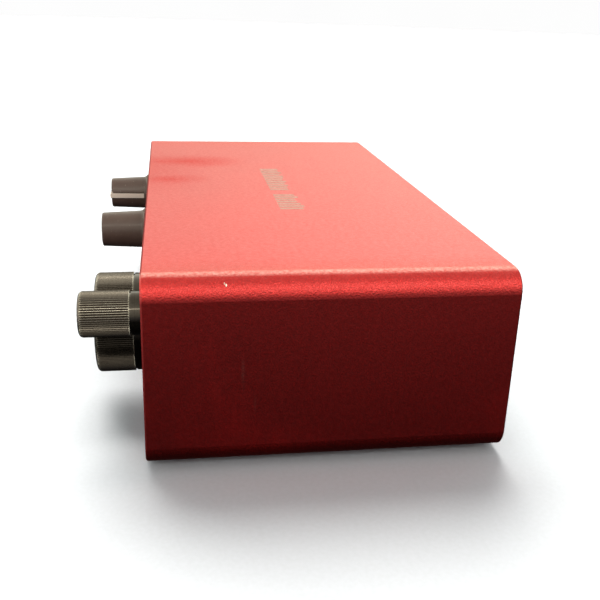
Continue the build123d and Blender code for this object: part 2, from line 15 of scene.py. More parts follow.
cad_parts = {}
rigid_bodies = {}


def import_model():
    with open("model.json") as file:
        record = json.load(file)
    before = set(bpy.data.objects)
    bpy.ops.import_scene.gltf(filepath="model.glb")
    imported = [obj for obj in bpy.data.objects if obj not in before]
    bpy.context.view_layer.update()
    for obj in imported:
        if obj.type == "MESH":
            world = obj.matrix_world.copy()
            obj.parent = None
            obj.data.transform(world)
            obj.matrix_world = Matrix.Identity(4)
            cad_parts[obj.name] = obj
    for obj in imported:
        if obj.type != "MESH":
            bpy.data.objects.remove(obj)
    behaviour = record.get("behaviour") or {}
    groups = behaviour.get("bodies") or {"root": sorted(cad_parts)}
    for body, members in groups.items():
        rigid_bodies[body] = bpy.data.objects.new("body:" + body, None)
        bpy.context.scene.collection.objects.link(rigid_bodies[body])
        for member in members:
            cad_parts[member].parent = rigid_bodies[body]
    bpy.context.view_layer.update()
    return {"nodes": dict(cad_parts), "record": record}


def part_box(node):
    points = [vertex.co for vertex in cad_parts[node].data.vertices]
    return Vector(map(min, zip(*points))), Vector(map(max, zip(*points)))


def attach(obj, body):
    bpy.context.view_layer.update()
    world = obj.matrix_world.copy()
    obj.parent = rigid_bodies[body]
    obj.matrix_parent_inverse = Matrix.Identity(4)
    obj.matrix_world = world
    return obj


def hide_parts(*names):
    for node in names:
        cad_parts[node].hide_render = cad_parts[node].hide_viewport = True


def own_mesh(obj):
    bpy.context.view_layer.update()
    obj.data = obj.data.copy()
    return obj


for stray in list(bpy.data.objects):
    bpy.data.objects.remove(stray)
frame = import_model()

NODES = frame["nodes"]
MM = 0.001

# ---- view and light ----------------------------------------------------------------------------------------
# The camera's and the key light's angles are in degrees, and the lens is in mm.
CAMERA_PLACE = (0.25097, -0.02843, 0.10291)
CAMERA_YAW = -9.4387
CAMERA_PITCH = -20.345
CAMERA_ROLL = 1.9515
CAMERA_LENS = 49.37
SKY_WARM = (1.0, 0.985, 0.83, 1)
# How bright the sky is at each angle of a turn about +Y, in degrees from +X up to -X.
SKY_BANDS = (
    (-180, 0.02), (-150, 0.01), (-60, 0.01), (-30, 0.01), (-24, 0.03), (-16, 0.12), (-4, 0.34),
    (4, 0.62), (18, 0.98), (30, 1.20), (39.5, 1.35), (40.5, 7.00), (43.0, 7.00), (44, 1.35),
    (56, 1.00), (76, 0.76), (100, 0.76), (112, 0.92), (126, 1.15), (140, 1.42), (150, 1.72), (161, 1.84),
    (165, 1.46), (168, 1.22), (171, 1.00), (174, 0.45), (178, 0.05), (180, 0.02),
)
KEY_STRENGTH = 9.2
KEY_WARM = (1.0, 0.92, 0.76)
KEY_WIDTH = 50
KEY_FROM = (-0.65, -0.05, 0.75)
FLOOR_RADIUS = 3.0
# Bluish, because the key light is warm: together they give a neutral floor.
FLOOR_COLOURS = ((0.382, 0.416, 0.500, 1), (0.401, 0.437, 0.525, 1))
BACKDROP_HEIGHT = 2.5

# ---- surface detail and wear -------------------------------------------------------------------------------
RING_PITCH = 0.12 * MM
# From the back of a knurled cap to its knurl.
KNURL_START = 2.8 * MM
# The creases run along the sleeve's top and underside: how far in from its sides, and half their width.
CREASE_INSET = 4.4 * MM
CREASE_HALF = 1.5 * MM
# Where the sleeve's coarse grain and the painted sheen on its flats end: inwards from the crease, and from
# the top down.
CORNER_FADE = 12 * MM
CORNER_HEIGHT = (3.8 * MM, 5.2 * MM)
BESIDE_FADE = 14 * MM
BESIDE_HEIGHT = (0.05 * MM, 0.4 * MM)
# Marks on the sleeve, in mm: how far in from its right, front and top, the radii along X, Y and Z, and a
# strength from 0 to 1.
SMEARS = (
    ((128.5, 11.1, 0.0), (7, 13, 3), 1.0),
    ((99.5, 6.1, 0.0), (5, 8, 3), 1.0),
    ((113.5, 2.1, 0.0), (20, 9, 3), 0.5),
)
NICKS = (
    ((1.3, 17.75, 1.35), (0.4, 0.15, 0.3), 1.0),
    ((1.2, 18.1, 1.75), (0.4, 0.17, 0.3), 1.0),
)
SCRATCHES = (
    ((0.0, 21.7, 21.8), (0.3, 0.32, 2.7), 1.0),
    ((0.0, 24.5, 29.5), (0.3, 0.22, 1.9), 0.5),
)

# ---- printing, in mm ---------------------------------------------------------------------------------------
INK_THICKNESS = 0.03
LINE = 0.28
# A figure's height as a share of its font size.
FIGURE_SHARE = 0.7
# A dial runs this many degrees either side of 12 o'clock.
DIAL_SWEEP = 150.0
DIAL_STEPS = 10
# A short tick's length as a share of a long one's.
SHORT_TICK = 0.6
# Each dial: from its axis to the ticks, the long ticks' length, and their width.
GAIN_DIAL = (8.4, 1.3, LINE)
MONITOR_DIAL = (13.9, 1.6, 0.34)
PHONES_DIAL = (6.5, 1.1, 0.26)
# From a dial's axis to its numbers.
GAIN_NUMBERS = 10.9
MONITOR_NUMBERS = 16.9
DIAL_NUMBER_HEIGHT = 1.5
INPUT_NUMBER_HEIGHT = 2.4
INPUT_NUMBER_DROP = 14.6
VOLTAGE_HEIGHT = 1.7
VOLTAGE_DROP = 4.3
# The line around an input: its radius, and its ends in degrees.
INPUT_ARC = (11.3, -215, 35)
# A switch's two marks: how far right of it, how far above and below its middle, and their width.
SWITCH_MARK = (4.4, 2.2, 3.2)
WAVE_HEIGHT = 1.5
# The symbols by a control or socket: how far above or right of its middle, and their size.
JACK_SYMBOL = (-8.6, 1.7)
MONITORING_SYMBOL = (6.4, 1.2)
LINK_SYMBOL = (-4.2, 1.5)
LINE_OUT_SYMBOL = (12.2, 2.6)
USB_SYMBOL = (10.0, 2.2)
LOCK_SYMBOL = (8.0, 2.4)
# The line between the inputs and the rest of the front: how far left of the button, its ends, its width.
DIVIDER_LEFT = 6.0
DIVIDER_SPAN = (7.5, 40.0)
DIVIDER_WIDTH = 0.2
REAR_RULE = ((-76.0, 36.5), (-28.0, 36.5))
REAR_RULE_WIDTH = 0.22
# The mark on the top: its groups of bars, as left end, right end and count; where the bars start, and the
# longest they may reach; a bar's width as a share of the pitch, and the shortest one's share of the longest.
MARK_GROUPS = ((-28.0, 5.0, 12), (10.0, 29.0, 7))
MARK_Y = (2.2, 9.6)
BAR_SHARE = 0.66
BAR_SHORTEST = 0.75


# ---- node materials ----------------------------------------------------------------------------------------
def srgb(red, green, blue):
    """A linear colour from 0 to 255 display values."""
    shares = [value / 255 for value in (red, green, blue)]
    linear = [s / 12.92 if s <= 0.04045 else ((s + 0.055) / 1.055) ** 2.4 for s in shares]
    return (*linear, 1.0)


class Graph:
    """A node tree, and short names for making and linking its nodes."""

    def __init__(self, tree):
        self.tree = tree
        self.tree.nodes.clear()

    def add(self, kind, **settings):
        node = self.tree.nodes.new(kind)
        for key, value in settings.items():
            setattr(node, key, value)
        return node

    def put(self, socket, value):
        """Sets a socket, or links it if the value is another node's output."""
        if isinstance(value, bpy.types.NodeSocket):
            self.tree.links.new(value, socket)
        else:
            socket.default_value = value

    def feed(self, node, **values):
        """Sets or links a node's inputs, whose names have _ for a space."""
        for key, value in values.items():
            self.put(node.inputs[key.replace("_", " ")], value)
        return node

    def math(self, operation, first, second=0.0):
        node = self.add("ShaderNodeMath", operation=operation)
        self.put(node.inputs[0], first)
        self.put(node.inputs[1], second)
        return node.outputs[0]

    def vector_math(self, operation, first, second, output="Vector"):
        node = self.add("ShaderNodeVectorMath", operation=operation)
        self.put(node.inputs[0], first)
        self.put(node.inputs[1], second)
        return node.outputs[output]

    def split(self, vector):
        """A vector's three numbers."""
        return self.feed(self.add("ShaderNodeSeparateXYZ"), Vector=vector).outputs

    def length(self, across, up):
        """The length of a vector in a plane."""
        squares = self.math("MULTIPLY", across, across), self.math("MULTIPLY", up, up)
        return self.math("SQRT", self.math("ADD", *squares))

    def span(self, value, low, high, start=0.0, end=1.0):
        """Maps low..high to start..end, clamped."""
        node = self.add("ShaderNodeMapRange")
        self.feed(node, Value=value, From_Min=low, From_Max=high, To_Min=start, To_Max=end)
        return node.outputs["Result"]

    def ramp(self, value, stops):
        """A curve through stops of (place from 0 to 1, level)."""
        node = self.feed(self.add("ShaderNodeValToRGB"), Fac=value)
        elements = node.color_ramp.elements
        for place, _ in stops[1:-1]:
            elements.new(place)
        for element, (_, level) in zip(elements, stops):
            element.color = (level, level, level, 1)
        return node.outputs["Color"]

    def mix(self, share, first, second):
        """The first colour, or the second where the share is 1."""
        node = self.add("ShaderNodeMix", data_type="RGBA")
        for index, value in ((0, share), (6, first), (7, second)):
            self.put(node.inputs[index], value)
        return node.outputs[2]


class Recipe(Graph):
    """A procedural material."""

    def __init__(self, name):
        self.material = bpy.data.materials.new(name)
        self.material.use_nodes = True
        super().__init__(self.material.node_tree)
        self.shader = self.add("ShaderNodeBsdfPrincipled")
        output = self.add("ShaderNodeOutputMaterial")
        self.tree.links.new(self.shader.outputs["BSDF"], output.inputs["Surface"])
        coordinates = self.add("ShaderNodeTexCoord").outputs
        self.place = coordinates["Object"]
        self.facing = coordinates["Normal"]

    def stretched(self, x, y, z):
        node = self.add("ShaderNodeMapping")
        return self.feed(node, Vector=self.place, Scale=(x, y, z)).outputs["Vector"]

    def noise(self, scale, detail=2.0, rough=0.5, place=None):
        node = self.add("ShaderNodeTexNoise")
        self.feed(node, Vector=place or self.place, Scale=scale, Detail=detail, Roughness=rough)
        return node.outputs["Fac"]

    def cells(self, scale):
        """Distance to the nearest of scattered points, about 0 to 1."""
        node = self.add("ShaderNodeTexVoronoi")
        return self.feed(node, Vector=self.place, Scale=scale).outputs["Distance"]

    def spot(self, centre, radii, soft):
        """1 inside an ellipsoid and 0 outside it, with a soft edge."""
        away = self.vector_math("DIVIDE", self.vector_math("SUBTRACT", self.place, centre), radii)
        length = self.vector_math("LENGTH", away, (0, 0, 0), "Value")
        return self.span(length, 1 - soft, 1 + soft, 1.0, 0.0)

    def marks(self, table, soft):
        """The strongest at each point of a table of marks on the sleeve."""
        low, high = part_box("sleeve")
        corner = Vector((high.x, low.y, high.z))
        strongest = 0.0
        for (from_right, from_front, from_top), radii, strength in table:
            centre = corner + Vector((-from_right, from_front, -from_top)) * MM
            spot = self.spot(centre, [radius * MM for radius in radii], soft)
            strongest = self.math("MAXIMUM", strongest, self.math("MULTIPLY", spot, strength))
        return strongest

    def edges(self, radius, low=0.80, high=0.995):
        """1 along sharp edges and 0 on flats, from how far a bevelled normal leans."""
        bevel = self.feed(self.add("ShaderNodeBevel", samples=6), Radius=radius).outputs["Normal"]
        true = self.add("ShaderNodeNewGeometry").outputs["Normal"]
        return self.span(self.vector_math("DOT_PRODUCT", bevel, true, "Value"), low, high, 1.0, 0.0)

    def creases(self):
        """Masks: the sleeve's four long creases, where a painted highlight goes, its rounded corners, and the
        flats next to the creases, where a painted sheen goes.
        """
        low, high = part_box("sleeve")
        x, _, z = self.split(self.place)
        inward = self.math("SUBTRACT", high.x - CREASE_INSET, self.math("ABSOLUTE", x))
        line = self.span(self.math("ABSOLUTE", inward), CREASE_HALF / 3, CREASE_HALF, 1.0, 0.0)
        up = self.math("ABSOLUTE", self.math("SUBTRACT", z, (low.z + high.z) / 2))
        half = (high.z - low.z) / 2
        near_face = self.span(up, half - 1.2 * CREASE_HALF, half - CREASE_HALF / 3)
        rounded = self.span(up, half - CORNER_HEIGHT[1], half - CORNER_HEIGHT[0])
        flat = self.span(up, half - BESIDE_HEIGHT[1], half - BESIDE_HEIGHT[0])
        return (
            self.math("MULTIPLY", line, near_face),
            self.math("MULTIPLY", self.span(inward, 0.0, CORNER_FADE, 1.0, 0.0), rounded),
            self.math("MULTIPLY", self.span(inward, 0.0, BESIDE_FADE, 1.0, 0.0), flat),
        )

    def bump(self, height, depth, strength=1.0, below=None):
        """A height of 0..1 as a relief of that depth, on top of another one."""
        node = self.feed(self.add("ShaderNodeBump"), Height=height, Distance=depth, Strength=strength)
        if below is not None:
            self.feed(node, Normal=below)
        return node.outputs["Normal"]

    def finish(self, colour, roughness, relief=None, **others):
        """Feeds the shader, and gives the material."""
        self.feed(self.shader, Base_Color=colour, Roughness=roughness, **others)
        if relief is not None:
            self.feed(self.shader, Normal=relief)
        return self.material


def red_anodised():
    """Bead-blasted and anodised metal, with worn creases that also carry a painted highlight, a painted sheen
    beside them, nicks, scratches and faint smears.
    """
    r = Recipe("red_anodised")
    broad = r.span(r.noise(22, 3), 0.35, 0.65)
    grain = r.span(r.noise(2300, 3, 0.6), 0.32, 0.68)
    fine = r.span(r.noise(5200, 2), 0.3, 0.7)
    mottle = r.span(r.noise(950, 3, 0.6), 0.35, 0.65, 0.0, 0.16)
    crease_highlight, corner, sheen_flats = r.creases()
    colour = r.mix(broad, srgb(201, 23, 26), srgb(209, 28, 30))
    glints = r.math("MULTIPLY", grain, r.span(corner, 0.0, 1.0, 0.15, 0.4))
    colour = r.mix(glints, colour, srgb(255, 50, 46))
    colour = r.mix(r.math("MULTIPLY", fine, 0.16), colour, srgb(130, 5, 9))
    colour = r.mix(mottle, colour, srgb(150, 8, 12))

    smears = r.math("MULTIPLY", r.marks(SMEARS, 0.9), r.span(broad, 0.0, 1.0, 0.3, 0.5))
    colour = r.mix(r.math("MULTIPLY", smears, 0.3), colour, srgb(150, 6, 10))
    dulled = r.math("ADD", smears, r.math("MULTIPLY", mottle, 1.4))

    worn = r.math("MULTIPLY", r.edges(0.25 * MM), r.span(r.noise(700, 3), 0.35, 0.75))
    colour = r.mix(r.math("MULTIPLY", worn, 0.6), colour, srgb(240, 150, 140))
    # Painted sheen: the top and underside grow paler towards the creases.
    colour = r.mix(r.math("MULTIPLY", sheen_flats, 0.16), colour, srgb(240, 168, 166))
    # A pale rubbed line along each crease, which also stands as the crease's painted highlight.
    rubbed = r.math("MULTIPLY", crease_highlight, r.span(r.noise(1300, 3), 0.32, 0.66, 0.2, 0.95))
    colour = r.mix(rubbed, colour, srgb(240, 168, 166))
    colour = r.mix(r.marks(NICKS, 0.35), colour, srgb(250, 232, 222))
    broken = r.span(r.noise(900, 2), 0.3, 0.6, 0.04, 0.2)
    colour = r.mix(r.math("MULTIPLY", r.marks(SCRATCHES, 0.6), broken), colour, srgb(214, 150, 140))

    streaks = r.noise(1.0, 4, 0.6, r.stretched(16, 60, 40))
    smudge = r.span(streaks, 0.52, 0.72)
    rough = r.math("ADD", r.span(grain, 0, 1, 0.29, 0.39), r.math("MULTIPLY", smudge, 0.06))
    blasted = r.math("MULTIPLY", grain, r.span(corner, 0.0, 1.0, 0.22, 1.0))
    relief = r.bump(blasted, 0.055 * MM, 1.0, r.bump(fine, 0.005 * MM, 0.8))
    return r.finish(
        colour, rough, relief,
        Metallic=1.0, Specular_Tint=(1.0, 0.30, 0.20, 1),
        Coat_Weight=r.math("SUBTRACT", 1.0, dulled), Coat_Normal=r.bump(blasted, 0.04 * MM),
        Coat_Roughness=0.3, Coat_IOR=1.55,
    )


def blasted_metal(name, base, bright, rough, metallic=0.9, grain_size=0.3, edge=None):
    """Fine blasted or powder-coated metal, brighter where its edges are rubbed."""
    r = Recipe(name)
    grain = r.span(r.noise(1 / (grain_size * MM) * 0.8, 3, 0.6), 0.3, 0.7)
    broad = r.span(r.noise(35, 3), 0.35, 0.65)
    colour = r.mix(r.math("MULTIPLY", grain, 0.5), base, bright)
    colour = r.mix(r.math("MULTIPLY", broad, 0.12), colour, bright)
    if edge:
        rubbed = r.math("MULTIPLY", r.edges(0.15 * MM), r.span(r.noise(600, 3), 0.35, 0.7))
        colour = r.mix(r.math("MULTIPLY", rubbed, 0.6), colour, edge)
    relief = r.bump(grain, 0.008 * MM, 0.8)
    return r.finish(colour, r.span(grain, 0, 1, rough - 0.05, rough + 0.07), relief, Metallic=metallic)


def turned_metal(name, base, bright, rough, axis):
    """Lathe-turned metal: fine rings that run around the Y or Z axis, and rubbed edges."""
    r = Recipe(name)
    scale = [40.0, 40.0, 40.0]
    scale["XYZ".index(axis)] = 1 / RING_PITCH
    rings = r.noise(1.0, 3, 0.7, r.stretched(*scale))
    specks = r.noise(1800, 2)
    colour = r.mix(r.span(rings, 0.3, 0.7), base, bright)
    rubbed = r.math("MULTIPLY", r.edges(0.12 * MM), r.span(r.noise(900, 2), 0.3, 0.7))
    colour = r.mix(r.math("MULTIPLY", rubbed, 0.55), colour, srgb(205, 200, 188))
    roughness = r.math("ADD", r.span(rings, 0.3, 0.7, rough - 0.06, rough), r.span(specks, 0.3, 0.7, 0, 0.08))
    relief = r.bump(rings, 0.004 * MM, 0.6, r.bump(specks, 0.003 * MM, 0.5))
    return r.finish(colour, roughness, relief, Metallic=0.95)


def knurl_masks(r, x, y, z, node):
    """How far each point is from a cap's axis, and masks: dirt and painted shade between the teeth, painted
    shade on the lower half, and the front rim.
    """
    tooth_tips = (0.02 * MM, 0.15 * MM)
    tooth_roots = (0.6 * MM, 0.8 * MM)
    tooth_flanks = (0.84, 0.95)
    front_edge = (0.7 * MM, 1.15 * MM)
    rim_edge = (-0.3 * MM, -0.2 * MM)
    low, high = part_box(node)
    across = r.math("SUBTRACT", x, (low.x + high.x) / 2)
    up = r.math("SUBTRACT", z, (low.z + high.z) / 2)
    reach = r.length(across, up)
    depth = r.math("SUBTRACT", (high.x - low.x) / 2, reach)
    facing_x, _, facing_z = r.split(r.facing)
    along = r.math("ADD", r.math("MULTIPLY", across, facing_x), r.math("MULTIPLY", up, facing_z))
    outward = r.math("DIVIDE", along, r.math("MULTIPLY", reach, r.length(facing_x, facing_z)))
    # Painted shade: flanks that lean away from the axis are darkened as if in their own shadow.
    flank = r.math("MULTIPLY", r.span(outward, *tooth_flanks, 1.0, 0.0), 0.88)
    between_teeth = r.math("MAXIMUM", flank, r.span(depth, *tooth_tips))
    dirt_and_shade = r.math("MULTIPLY", between_teeth, r.span(depth, *tooth_roots, 1.0, 0.0))
    # Painted shade: the grooves on the lower half of each cap are darker.
    underneath = r.span(r.math("DIVIDE", up, reach), -0.5, -0.2, 1.0, 0.0)
    front = r.span(y, low.y + front_edge[0], low.y + front_edge[1], 1.0, 0.0)
    rim = r.math("MULTIPLY", front, r.span(depth, *rim_edge))
    return reach, dirt_and_shade, r.math("MULTIPLY", dirt_and_shade, underneath), rim


def knurled_metal():
    """Nickel-dark turned caps: dirt and painted shade between the teeth, painted shade on their lower half,
    bright rims, and a polished dark collar.
    """
    r = Recipe("knurled_metal")
    x, y, z = r.split(r.place)
    facing_x, _, facing_z = r.split(r.facing)
    monitor, phones = "monitor_knob_cap", "phones_knob_cap"
    monitor_reach, monitor_dirt_and_shade, monitor_underside_shade, monitor_rim = knurl_masks(r, x, y, z, monitor)
    phones_reach, phones_dirt_and_shade, phones_underside_shade, phones_rim = knurl_masks(r, x, y, z, phones)
    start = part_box(monitor)[1].y - KNURL_START
    collar = r.span(y, start - 0.1 * MM, start + 0.1 * MM)
    from_start = r.math("ABSOLUTE", r.math("SUBTRACT", y, start))
    back_rim = r.span(from_start, 0.15 * MM, 0.3 * MM, 1.0, 0.0)
    rim = r.math("MAXIMUM", back_rim, r.math("MAXIMUM", monitor_rim, phones_rim))
    dirt_and_shade = r.math("MAXIMUM", monitor_dirt_and_shade, phones_dirt_and_shade)
    dirt_and_shade = r.math("MULTIPLY", dirt_and_shade, r.math("SUBTRACT", 1.0, collar))
    underside_shade = r.math("MAXIMUM", monitor_underside_shade, phones_underside_shade)

    between = (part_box(monitor)[1].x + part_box(phones)[0].x) / 2
    on_phones = r.span(x, between - 0.1 * MM, between + 0.1 * MM)
    further = r.math("MULTIPLY", on_phones, r.math("SUBTRACT", phones_reach, monitor_reach))
    turned = r.add("ShaderNodeCombineXYZ")
    r.feed(turned, X=r.math("DIVIDE", r.math("ADD", monitor_reach, further), RING_PITCH))
    r.feed(turned, Y=r.math("DIVIDE", y, RING_PITCH))
    rings = r.noise(1.0, 3, 0.7, turned.outputs["Vector"])
    specks = r.noise(1500, 2, 0.7)
    on_side = r.span(r.length(facing_x, facing_z), 0.3, 0.6, 0.15, 1.0)
    speckled = r.math("MULTIPLY", r.span(specks, 0.35, 0.7, 0.0, 0.35), on_side)

    colour = r.mix(r.span(rings, 0.3, 0.7), srgb(184, 175, 165), srgb(236, 228, 216))
    colour = r.mix(speckled, colour, srgb(104, 94, 86))
    # Dirt and painted shade in the grooves and on the tooth flanks.
    colour = r.mix(r.math("MULTIPLY", dirt_and_shade, 0.86), colour, srgb(74, 62, 54))
    # Painted shade on the lower half of each cap, in its grooves.
    colour = r.mix(r.math("MULTIPLY", underside_shade, 0.85), colour, srgb(38, 30, 26))
    colour = r.mix(r.math("MULTIPLY", collar, 0.92), colour, srgb(46, 38, 33))
    rubbed = r.math("MULTIPLY", r.edges(0.2 * MM, 0.75, 0.99), r.span(rim, 0.0, 1.0, 0.06, 0.95))
    colour = r.mix(rubbed, colour, srgb(240, 234, 222))
    rough = r.math("SUBTRACT", r.span(specks, 0.3, 0.7, 0.2, 0.29), r.math("MULTIPLY", collar, 0.15))
    relief = r.bump(rings, 0.002 * MM, 0.6, r.bump(specks, 0.003 * MM, 0.5))
    return r.finish(colour, rough, relief, Metallic=0.9)


def moulded(name, base, bright, rough, texture=0.25, depth=0.006, gloss=0.5, worn=0.0):
    """Moulded plastic or rubber with a spark-eroded grain, texture mm across."""
    r = Recipe(name)
    pits = r.span(r.cells(1 / (texture * MM)), 0.1, 0.7)
    cloud = r.span(r.noise(120, 3), 0.35, 0.65)
    fine = r.span(r.noise(2.2 / (texture * MM), 2), 0.3, 0.7)
    colour = r.mix(r.math("MULTIPLY", cloud, 0.5), base, bright)
    colour = r.mix(r.math("MULTIPLY", fine, 0.25), colour, bright)
    if worn:
        rubbed = r.math("MULTIPLY", r.edges(0.2 * MM), r.span(r.noise(500, 3), 0.35, 0.7))
        colour = r.mix(r.math("MULTIPLY", rubbed, worn), colour, srgb(150, 142, 132))
    relief = r.bump(pits, depth * MM, 0.7, r.bump(fine, 0.5 * depth * MM, 0.5))
    roughness = r.span(fine, 0, 1, rough - 0.04, rough + 0.08)
    return r.finish(colour, roughness, relief, Specular_IOR_Level=gloss)


def soft_touch():
    """Lacquered soft-touch plastic, a little shiny where fingers hold it."""
    r = Recipe("soft_touch")
    fine = r.span(r.noise(3200, 2), 0.3, 0.7)
    cloud = r.span(r.noise(160, 4), 0.35, 0.65)
    dust = r.span(r.noise(1400, 1), 0.70, 0.78)
    colour = r.mix(r.math("MULTIPLY", cloud, 0.6), srgb(86, 63, 58), srgb(98, 74, 68))
    colour = r.mix(r.math("MULTIPLY", dust, 0.35), colour, srgb(150, 140, 130))
    roughness = r.math("SUBTRACT", r.span(fine, 0, 1, 0.56, 0.66), r.math("MULTIPLY", cloud, 0.08))
    relief = r.bump(fine, 0.004 * MM, 0.6, r.bump(cloud, 0.02 * MM, 0.3))
    return r.finish(colour, roughness, relief, Coat_Weight=0.45, Coat_Roughness=0.24)


def printing_ink(name, light, dark):
    """Screen-printed ink, slightly uneven."""
    r = Recipe(name)
    patchy = r.span(r.noise(900, 3), 0.35, 0.75)
    fine = r.noise(6000, 2)
    colour = r.mix(r.math("MULTIPLY", patchy, 0.6), light, dark)
    return r.finish(colour, r.span(fine, 0.3, 0.7, 0.42, 0.6), r.bump(fine, 0.004 * MM, 0.5))


def light_guide(name, base, bright, rough):
    """Milky or tinted clear plastic that carries a light."""
    r = Recipe(name)
    cloud = r.span(r.noise(500, 3), 0.3, 0.7)
    fine = r.noise(4200, 2)
    colour = r.mix(cloud, base, bright)
    relief = r.bump(fine, 0.003 * MM, 0.4)
    return r.finish(
        colour, r.span(fine, 0.3, 0.7, rough - 0.05, rough + 0.08), relief,
        Transmission_Weight=0.25, Subsurface_Weight=0.2, IOR=1.49,
    )


def plated(name, base, bright, rough):
    """Plated metal with faint haze and handling marks."""
    r = Recipe(name)
    haze = r.span(r.noise(260, 4), 0.35, 0.7)
    marks = r.noise(1.0, 3, 0.7, r.stretched(900, 2600, 900))
    colour = r.mix(r.math("MULTIPLY", haze, 0.7), bright, base)
    roughness = r.math("ADD", r.span(haze, 0, 1, rough, rough + 0.12), r.span(marks, 0.5, 0.75, 0, 0.1))
    return r.finish(colour, roughness, r.bump(marks, 0.002 * MM, 0.4), Metallic=1.0)


def board_mask():
    """Laminate with solder mask over copper tracks."""
    r = Recipe("board_mask")
    tracks = r.span(r.cells(520), 0.42, 0.47)
    weave = r.noise(2600, 2)
    colour = r.mix(tracks, srgb(20, 62, 44), srgb(28, 88, 58))
    colour = r.mix(r.span(weave, 0.3, 0.7, 0, 0.3), colour, srgb(16, 48, 36))
    relief = r.bump(tracks, 0.03 * MM, 0.8, r.bump(weave, 0.004 * MM, 0.5))
    return r.finish(colour, r.span(weave, 0.3, 0.7, 0.22, 0.34), relief, Coat_Weight=0.5, Coat_Roughness=0.15)


def make_materials():
    """One material for each slot of the record, and the two inks."""
    brass = (srgb(196, 150, 70), srgb(232, 196, 120))
    made = {
        "red_anodised": red_anodised(),
        "fascia_black": blasted_metal(
            "fascia_black", srgb(26, 26, 28), srgb(52, 52, 55), 0.42, edge=srgb(120, 120, 120)
        ),
        "rear_black": blasted_metal(
            "rear_black", srgb(30, 30, 31), srgb(48, 48, 50), 0.55, 0.2, 0.6, srgb(96, 96, 96)
        ),
        "black_screw": turned_metal("black_screw", srgb(38, 38, 40), srgb(70, 70, 72), 0.38, "Y"),
        "foot_rubber": moulded("foot_rubber", srgb(26, 26, 27), srgb(48, 47, 46), 0.8, 0.35, 0.02, 0.3),
        "soft_touch": soft_touch(),
        "pointer_light": moulded(
            "pointer_light", srgb(232, 210, 204), srgb(246, 226, 218), 0.35, 0.2, 0.004
        ),
        "light_guide": light_guide("light_guide", srgb(206, 208, 210), srgb(232, 233, 234), 0.3),
        "knurled_metal": knurled_metal(),
        "knob_core": moulded("knob_core", srgb(24, 24, 24), srgb(40, 40, 40), 0.6),
        "black_plastic": moulded(
            "black_plastic", srgb(22, 22, 23), srgb(42, 42, 43), 0.5, 0.3, 0.008, worn=0.2
        ),
        "switch_plastic": moulded(
            "switch_plastic", srgb(150, 148, 144), srgb(178, 176, 170), 0.45, 0.2, 0.004
        ),
        "button_plastic": moulded(
            "button_plastic", srgb(62, 62, 64), srgb(86, 86, 88), 0.5, 0.2, 0.004, worn=0.3
        ),
        "lamp_red": light_guide("lamp_red", srgb(120, 20, 18), srgb(176, 40, 34), 0.15),
        "lamp_green": light_guide("lamp_green", srgb(36, 92, 46), srgb(70, 140, 74), 0.15),
        "nickel": plated("nickel", srgb(168, 164, 154), srgb(206, 203, 195), 0.18),
        "contact_metal": plated("contact_metal", *brass, 0.22),
        "zinc_steel": plated("zinc_steel", srgb(150, 152, 156), srgb(190, 191, 192), 0.32),
        "shaft_metal": turned_metal("shaft_metal", srgb(160, 160, 160), srgb(200, 200, 200), 0.3, "Y"),
        "spring_steel": plated("spring_steel", srgb(128, 128, 128), srgb(170, 170, 168), 0.28),
        "board_mask": board_mask(),
        "chip_epoxy": moulded("chip_epoxy", srgb(24, 24, 25), srgb(40, 40, 41), 0.62, 0.15, 0.006),
        "can_aluminium": turned_metal("can_aluminium", srgb(176, 176, 178), srgb(214, 214, 216), 0.28, "Z"),
        "ferrite": moulded("ferrite", srgb(52, 52, 54), srgb(74, 74, 76), 0.75, 0.3, 0.02),
    }
    made["panel_ink"] = printing_ink("panel_ink", srgb(214, 214, 212), srgb(186, 186, 184))
    made["mark_ink"] = printing_ink("mark_ink", srgb(208, 154, 142), srgb(178, 124, 114))
    return made


def dress_nodes(materials):
    """Gives each CAD node its slot's material."""
    slots = {entry["node"]: entry["material_slot"] for entry in frame["record"]["subparts"]}
    for name, node in NODES.items():
        for holder in node.material_slots:
            holder.material = materials[slots[name]]


def new_object(name, data, material):
    """An object in the scene, from its mesh."""
    data.materials.append(material)
    made = bpy.data.objects.new(name, data)
    bpy.context.scene.collection.objects.link(made)
    return made


def make_spring(material):
    """The button's return spring, a copy of the phantom spring that stays with the case."""
    data = NODES["phantom_spring"].data.copy()
    data.materials.clear()
    piece = new_object("button_spring", data, material)
    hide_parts("phantom_spring")
    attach(piece, "case")
    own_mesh(piece)


# ---- printed legends ---------------------------------------------------------------------------------------
def strip(points, width):
    """A band of that width along a line of points, as one outline."""
    left, right = [], []
    for index, point in enumerate(points):
        before = points[max(index - 1, 0)]
        after = points[min(index + 1, len(points) - 1)]
        along = math.atan2(after[1] - before[1], after[0] - before[0])
        shift = (-math.sin(along) * width / 2, math.cos(along) * width / 2)
        left.append((point[0] + shift[0], point[1] + shift[1]))
        right.append((point[0] - shift[0], point[1] - shift[1]))
    return left + right[::-1]


def box_outline(x, z, width, height):
    return strip([(x - width / 2, z), (x + width / 2, z)], height)


def around(x, z, radius, angle):
    """The point at a radius and an angle, in degrees clockwise from 12 o'clock."""
    return (x + radius * math.sin(math.radians(angle)), z + radius * math.cos(math.radians(angle)))


def arc(x, z, radius, start, end, steps=24):
    """Points clockwise from start to end, in degrees from 12 o'clock."""
    return [around(x, z, radius, start + (end - start) * k / steps) for k in range(steps + 1)]


def dial(x, z, inner, long_tick, width):
    """Ticks around a knob, longer at the two ends and the middle."""
    outlines = []
    for step in range(DIAL_STEPS + 1):
        angle = -DIAL_SWEEP + 2 * DIAL_SWEEP * step / DIAL_STEPS
        length = long_tick if step in (0, DIAL_STEPS // 2, DIAL_STEPS) else SHORT_TICK * long_tick
        outlines.append(strip([around(x, z, inner, angle), around(x, z, inner + length, angle)], width))
    return outlines


